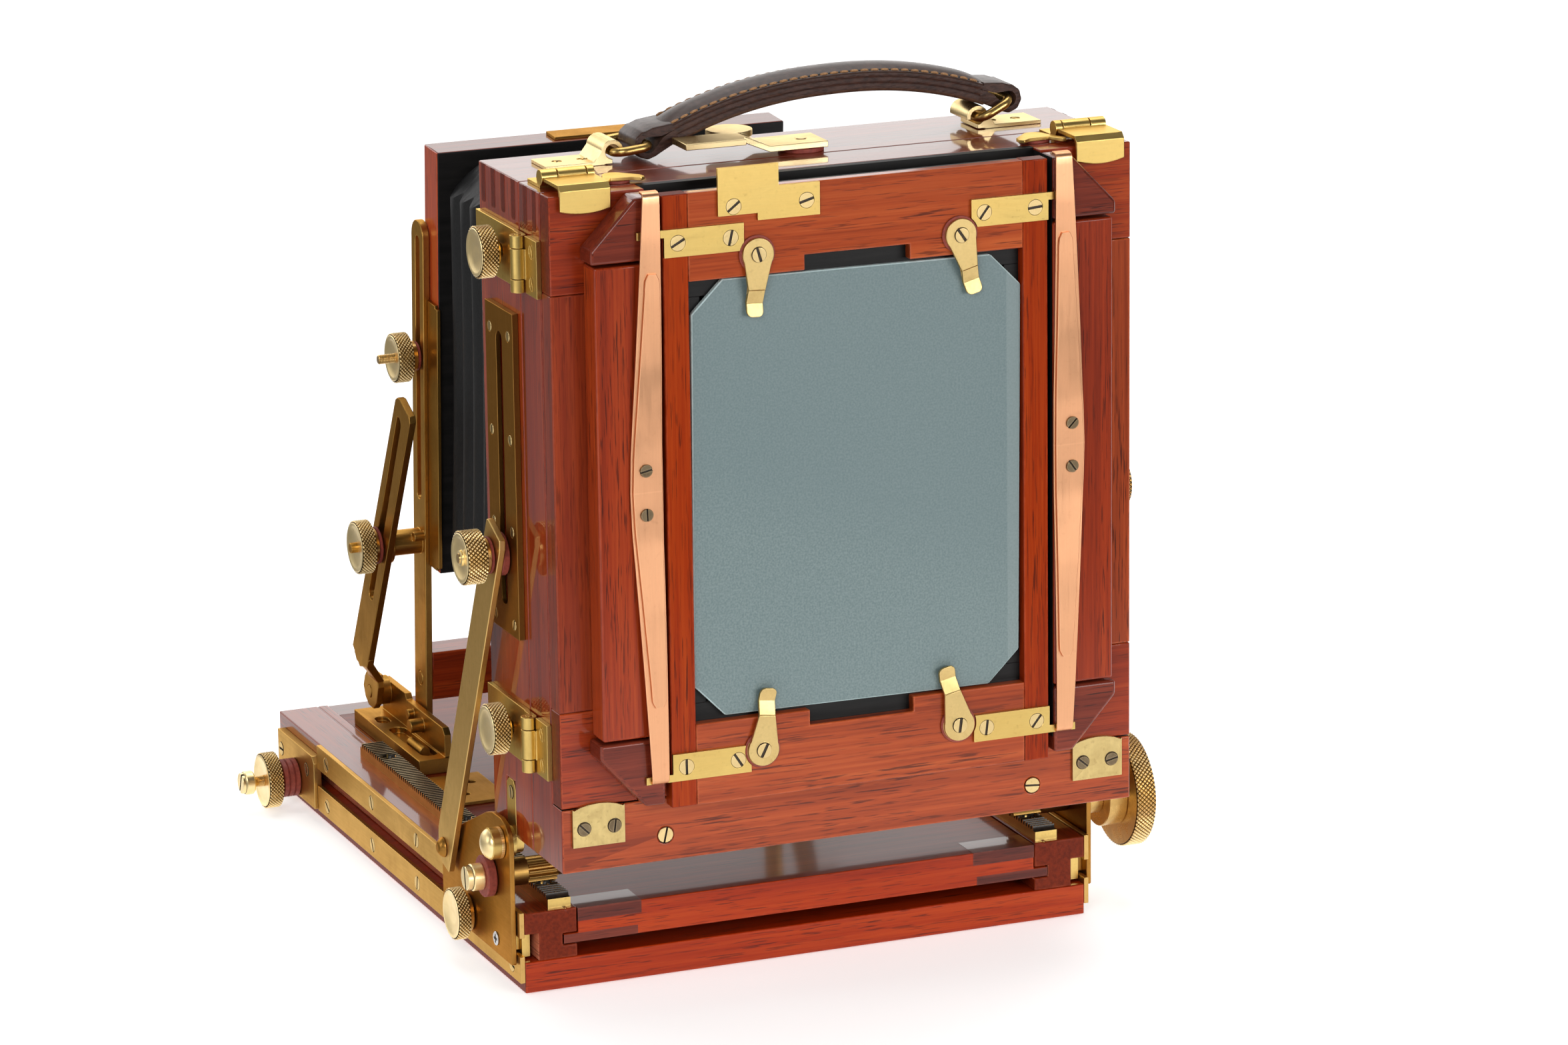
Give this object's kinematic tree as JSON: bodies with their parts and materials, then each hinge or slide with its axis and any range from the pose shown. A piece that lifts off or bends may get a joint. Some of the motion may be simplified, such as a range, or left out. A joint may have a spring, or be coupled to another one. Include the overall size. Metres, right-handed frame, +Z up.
{
  "type": "wooden field camera",
  "caption": "Folding mahogany and brass field camera for 4x5 inch film: reversible back with ground glass, bellows, tilting standards on a sliding bed.",
  "frame": {"origin": "centre of the tripod bush on the base's underside", "axes": "+X to the right seen from behind the camera, +Y forward to the lens, +Z up"},
  "size_m": [0.2237, 0.2716, 0.2644],
  "materials": {
    "mahogany": "gloss",
    "dark_mahogany": "gloss",
    "red_mahogany": "gloss",
    "brass": "satin",
    "aged_brass": "satin",
    "spring_bronze": "brushed",
    "ground_glass": "matte",
    "handle_leather": "satin",
    "bellows_cloth": "matte"
  },
  "bodies": {
    "base": {"base_plank": "mahogany", "tripod_bush": "brass", "side_rails": "dark_mahogany", "focus_racks": "brass", "slide_strips": "aged_brass", "base_screws": "brass"},
    "bed_lock_knob": {"bed_lock_knob": "brass"},
    "front_bed": {"bed_panel": "mahogany", "bed_fittings": "brass"},
    "front_standard": {"uprights": "aged_brass", "cross_member": "mahogany"},
    "left_tilt_strut": {"left_tilt_strut": "aged_brass"},
    "right_tilt_strut": {"right_tilt_strut": "aged_brass"},
    "left_tilt_knob": {"left_tilt_knob": "brass"},
    "right_tilt_knob": {"right_tilt_knob": "brass"},
    "lens_panel": {"lens_frame": "dark_mahogany", "lens_board": "mahogany", "lens_flange": "brass", "frame_guides": "aged_brass"},
    "left_rise_knob": {"left_rise_knob": "brass"},
    "right_rise_knob": {"right_rise_knob": "brass"},
    "rear_carriage": {"side_plates": "brass", "slide_nuts": "brass"},
    "focus_shaft": {"focus_pinion": "brass", "focus_knob": "brass"},
    "carriage_lock_knob": {"carriage_lock_knob": "brass"},
    "rear_body": {"body_box": "mahogany", "slot_plates": "aged_brass", "pivot_fittings": "brass", "left_hinge_leaves": "brass", "handle_fittings": "brass", "bellows": "bellows_cloth"},
    "left_rear_strut": {"left_rear_strut": "aged_brass"},
    "right_rear_strut": {"right_rear_strut": "aged_brass"},
    "left_strut_knob": {"left_strut_knob": "brass"},
    "right_strut_knob": {"right_strut_knob": "brass"},
    "upper_left_hinge_knob": {"upper_left_hinge_knob": "brass"},
    "lower_left_hinge_knob": {"lower_left_hinge_knob": "brass"},
    "upper_right_hinge_knob": {"upper_right_hinge_knob": "brass"},
    "lower_right_hinge_knob": {"lower_right_hinge_knob": "brass"},
    "handle": {"handle": "handle_leather"},
    "left_ring": {"left_ring": "aged_brass"},
    "right_ring": {"right_ring": "aged_brass"},
    "centre_catch": {"centre_catch": "brass"},
    "back_swing": {"back_frame": "mahogany", "back_fittings": "brass", "reversible_back": "mahogany", "springs": "spring_bronze"},
    "right_hinge_leaves": {"right_hinge_leaves": "brass"},
    "glass_panel": {"glass_frame": "red_mahogany", "frame_plates": "brass", "ground_glass": "ground_glass"},
    "upper_left_clip": {"upper_left_clip": "brass"},
    "upper_right_clip": {"upper_right_clip": "brass"},
    "lower_left_clip": {"lower_left_clip": "brass"},
    "lower_right_clip": {"lower_right_clip": "brass"},
    "left_back_catch": {"left_back_catch": "brass"},
    "right_back_catch": {"right_back_catch": "brass"},
    "left_catch_lever": {"left_catch_lever": "brass"},
    "right_catch_lever": {"right_catch_lever": "brass"}
  },
  "joints": [
    {"name": "bed_slide", "type": "slide", "parent": "base", "child": "front_bed", "axis": [0, 1, 0], "range_m": [0, 0.095], "deforming": ["bellows"]},
    {"name": "bed_lock_turn", "type": "hinge", "parent": "base", "child": "bed_lock_knob", "pos_m": [-0.095, 0.0905, 0.0092], "axis": [1, 0, 0], "range_deg": [0, 120]},
    {"name": "standard_tilt", "type": "hinge", "parent": "front_bed", "child": "front_standard", "pos_m": [0, 0.0595, 0.0347], "axis": [1, 0, 0], "range_deg": [-3, 5], "deforming": ["bellows"]},
    {"name": "left_tilt_strut_swing", "type": "hinge", "parent": "front_bed", "child": "left_tilt_strut", "pos_m": [-0.0672, 0.0841, 0.0362], "axis": [1, 0, 0], "range_deg": [-2.52, 4.2]},
    {"name": "left_tilt_knob_turn", "type": "hinge", "parent": "front_standard", "child": "left_tilt_knob", "pos_m": [-0.076, 0.0575, 0.0912], "axis": [1, 0, 0], "range_deg": [0, 120]},
    {"name": "right_tilt_strut_swing", "type": "hinge", "parent": "front_bed", "child": "right_tilt_strut", "pos_m": [0.0672, 0.0841, 0.0362], "axis": [1, 0, 0], "range_deg": [-2.52, 4.2]},
    {"name": "right_tilt_knob_turn", "type": "hinge", "parent": "front_standard", "child": "right_tilt_knob", "pos_m": [0.076, 0.0575, 0.0912], "axis": [1, 0, 0], "range_deg": [0, 120]},
    {"name": "lens_rise", "type": "slide", "parent": "front_standard", "child": "lens_panel", "axis": [0, -0.0567, 0.9984], "range_m": [-0.025, 0.033], "deforming": ["bellows"]},
    {"name": "left_rise_knob_turn", "type": "hinge", "parent": "lens_panel", "child": "left_rise_knob", "pos_m": [-0.065, 0.05389, 0.15107], "axis": [1, 0, 0], "range_deg": [0, 120]},
    {"name": "right_rise_knob_turn", "type": "hinge", "parent": "lens_panel", "child": "right_rise_knob", "pos_m": [0.065, 0.05389, 0.15107], "axis": [1, 0, 0], "range_deg": [0, 120]},
    {"name": "focus_slide", "type": "slide", "parent": "base", "child": "rear_carriage", "axis": [0, 1, 0], "range_m": [0, 0.07], "deforming": ["bellows"]},
    {"name": "focus_turn", "type": "hinge", "parent": "rear_carriage", "child": "focus_shaft", "pos_m": [0, -0.0954, 0.03137], "axis": [1, 0, 0], "range_deg": [-1107.8, 0]},
    {"name": "carriage_lock_turn", "type": "hinge", "parent": "rear_carriage", "child": "carriage_lock_knob", "pos_m": [-0.095, -0.0754, 0.0141], "axis": [1, 0, 0], "range_deg": [0, 120]},
    {"name": "back_tilt", "type": "hinge", "parent": "rear_carriage", "child": "rear_body", "pos_m": [0, -0.104, 0.0438], "axis": [1, 0, 0], "range_deg": [-8, 8], "deforming": ["bellows"]},
    {"name": "left_rear_strut_swing", "type": "hinge", "parent": "rear_carriage", "child": "left_rear_strut", "pos_m": [-0.094, -0.061, 0.0302], "axis": [1, 0, 0], "range_deg": [-6.93, 6.93]},
    {"name": "left_strut_knob_turn", "type": "hinge", "parent": "left_rear_strut", "child": "left_strut_knob", "pos_m": [-0.097, -0.108, 0.1313], "axis": [1, 0, 0], "range_deg": [0, 120]},
    {"name": "right_rear_strut_swing", "type": "hinge", "parent": "rear_carriage", "child": "right_rear_strut", "pos_m": [0.094, -0.061, 0.0302], "axis": [1, 0, 0], "range_deg": [-6.93, 6.93]},
    {"name": "right_strut_knob_turn", "type": "hinge", "parent": "right_rear_strut", "child": "right_strut_knob", "pos_m": [0.097, -0.108, 0.1313], "axis": [1, 0, 0], "range_deg": [0, 120]},
    {"name": "upper_left_hinge_knob_turn", "type": "hinge", "parent": "rear_body", "child": "upper_left_hinge_knob", "pos_m": [-0.095, -0.1096, 0.2202], "axis": [1, 0, 0], "range_deg": [0, 120]},
    {"name": "upper_right_hinge_knob_turn", "type": "hinge", "parent": "rear_body", "child": "upper_right_hinge_knob", "pos_m": [0.095, -0.1096, 0.2202], "axis": [1, 0, 0], "range_deg": [0, 120]},
    {"name": "lower_left_hinge_knob_turn", "type": "hinge", "parent": "rear_body", "child": "lower_left_hinge_knob", "pos_m": [-0.095, -0.1096, 0.08], "axis": [1, 0, 0], "range_deg": [0, 120]},
    {"name": "lower_right_hinge_knob_turn", "type": "hinge", "parent": "rear_body", "child": "lower_right_hinge_knob", "pos_m": [0.095, -0.1096, 0.08], "axis": [1, 0, 0], "range_deg": [0, 120]},
    {"name": "handle_lift", "type": "slide", "parent": "rear_body", "child": "handle", "axis": [-0.2756, 0, 0.9613], "range_m": [-0.0005, 0.003]},
    {"name": "left_ring_swing", "type": "hinge", "parent": "rear_body", "child": "left_ring", "pos_m": [-0.0564, -0.1053, 0.2457], "axis": [0, -1, 0], "range_deg": [-2.71, 16.21]},
    {"name": "right_ring_swing", "type": "hinge", "parent": "rear_body", "child": "right_ring", "pos_m": [0.0564, -0.1053, 0.2457], "axis": [0, -1, 0], "range_deg": [-2.71, 16.21]},
    {"name": "centre_catch_turn", "type": "hinge", "parent": "rear_body", "child": "centre_catch", "pos_m": [-0.0004, -0.1151, 0.245], "axis": [0, 0, 1], "range_deg": [0, 50]},
    {"name": "back_swing_turn", "type": "hinge", "parent": "rear_body", "child": "back_swing", "pos_m": [-0.0914, -0.1278, 0.15], "axis": [0, 0, 1], "range_deg": [-4, 0], "deforming": ["bellows"]},
    {"name": "right_hinge_turn", "type": "hinge", "parent": "back_swing", "child": "right_hinge_leaves", "pos_m": [0.0914, -0.1278, 0.15], "axis": [0, 0, 1], "range_deg": [0, 4]},
    {"name": "glass_frame_pull", "type": "slide", "parent": "back_swing", "child": "glass_panel", "axis": [0, -1, 0], "range_m": [0, 0.006], "stiffness_N_per_m": 1200, "springref_m": -0.004, "deforming": ["springs"]},
    {"name": "upper_left_clip_turn", "type": "hinge", "parent": "glass_panel", "child": "upper_left_clip", "pos_m": [-0.0306, -0.1555, 0.2226], "axis": [0, 1, 0], "range_deg": [-30, 30]},
    {"name": "upper_right_clip_turn", "type": "hinge", "parent": "glass_panel", "child": "upper_right_clip", "pos_m": [0.0312, -0.1555, 0.2223], "axis": [0, 1, 0], "range_deg": [-30, 30]},
    {"name": "lower_left_clip_turn", "type": "hinge", "parent": "glass_panel", "child": "lower_left_clip", "pos_m": [-0.031, -0.1555, 0.0784], "axis": [0, 1, 0], "range_deg": [-30, 15]},
    {"name": "lower_right_clip_turn", "type": "hinge", "parent": "glass_panel", "child": "lower_right_clip", "pos_m": [0.0298, -0.1555, 0.0782], "axis": [0, 1, 0], "range_deg": [-10, 30]},
    {"name": "left_back_catch_lift", "type": "hinge", "parent": "back_swing", "child": "left_back_catch", "pos_m": [-0.077, -0.1326, 0.245], "axis": [1, 0, 0], "range_deg": [-110, 0]},
    {"name": "left_catch_lever_turn", "type": "hinge", "parent": "back_swing", "child": "left_catch_lever", "pos_m": [-0.0644, -0.1334, 0.2435], "axis": [0, 0, 1], "range_deg": [0, 40]},
    {"name": "right_back_catch_lift", "type": "hinge", "parent": "back_swing", "child": "right_back_catch", "pos_m": [0.077, -0.1326, 0.245], "axis": [1, 0, 0], "range_deg": [-110, 0]},
    {"name": "right_catch_lever_turn", "type": "hinge", "parent": "back_swing", "child": "right_catch_lever", "pos_m": [0.0644, -0.1334, 0.2435], "axis": [0, 0, 1], "range_deg": [-40, 0]}
  ],
  "couplings": [
    {"joint": "focus_turn", "follows": "focus_slide", "rad_per_m": -276.18},
    {"joint": "left_tilt_strut_swing", "follows": "standard_tilt", "ratio": 0.84},
    {"joint": "left_rear_strut_swing", "follows": "back_tilt", "ratio": 0.8655},
    {"joint": "left_ring_swing", "follows": "handle_lift", "rad_per_m": 94.3},
    {"joint": "right_tilt_strut_swing", "follows": "standard_tilt", "ratio": 0.84},
    {"joint": "right_rear_strut_swing", "follows": "back_tilt", "ratio": 0.8655},
    {"joint": "right_ring_swing", "follows": "handle_lift", "rad_per_m": 94.3},
    {"joint": "right_hinge_turn", "follows": "back_swing_turn", "ratio": -1}
  ]
}
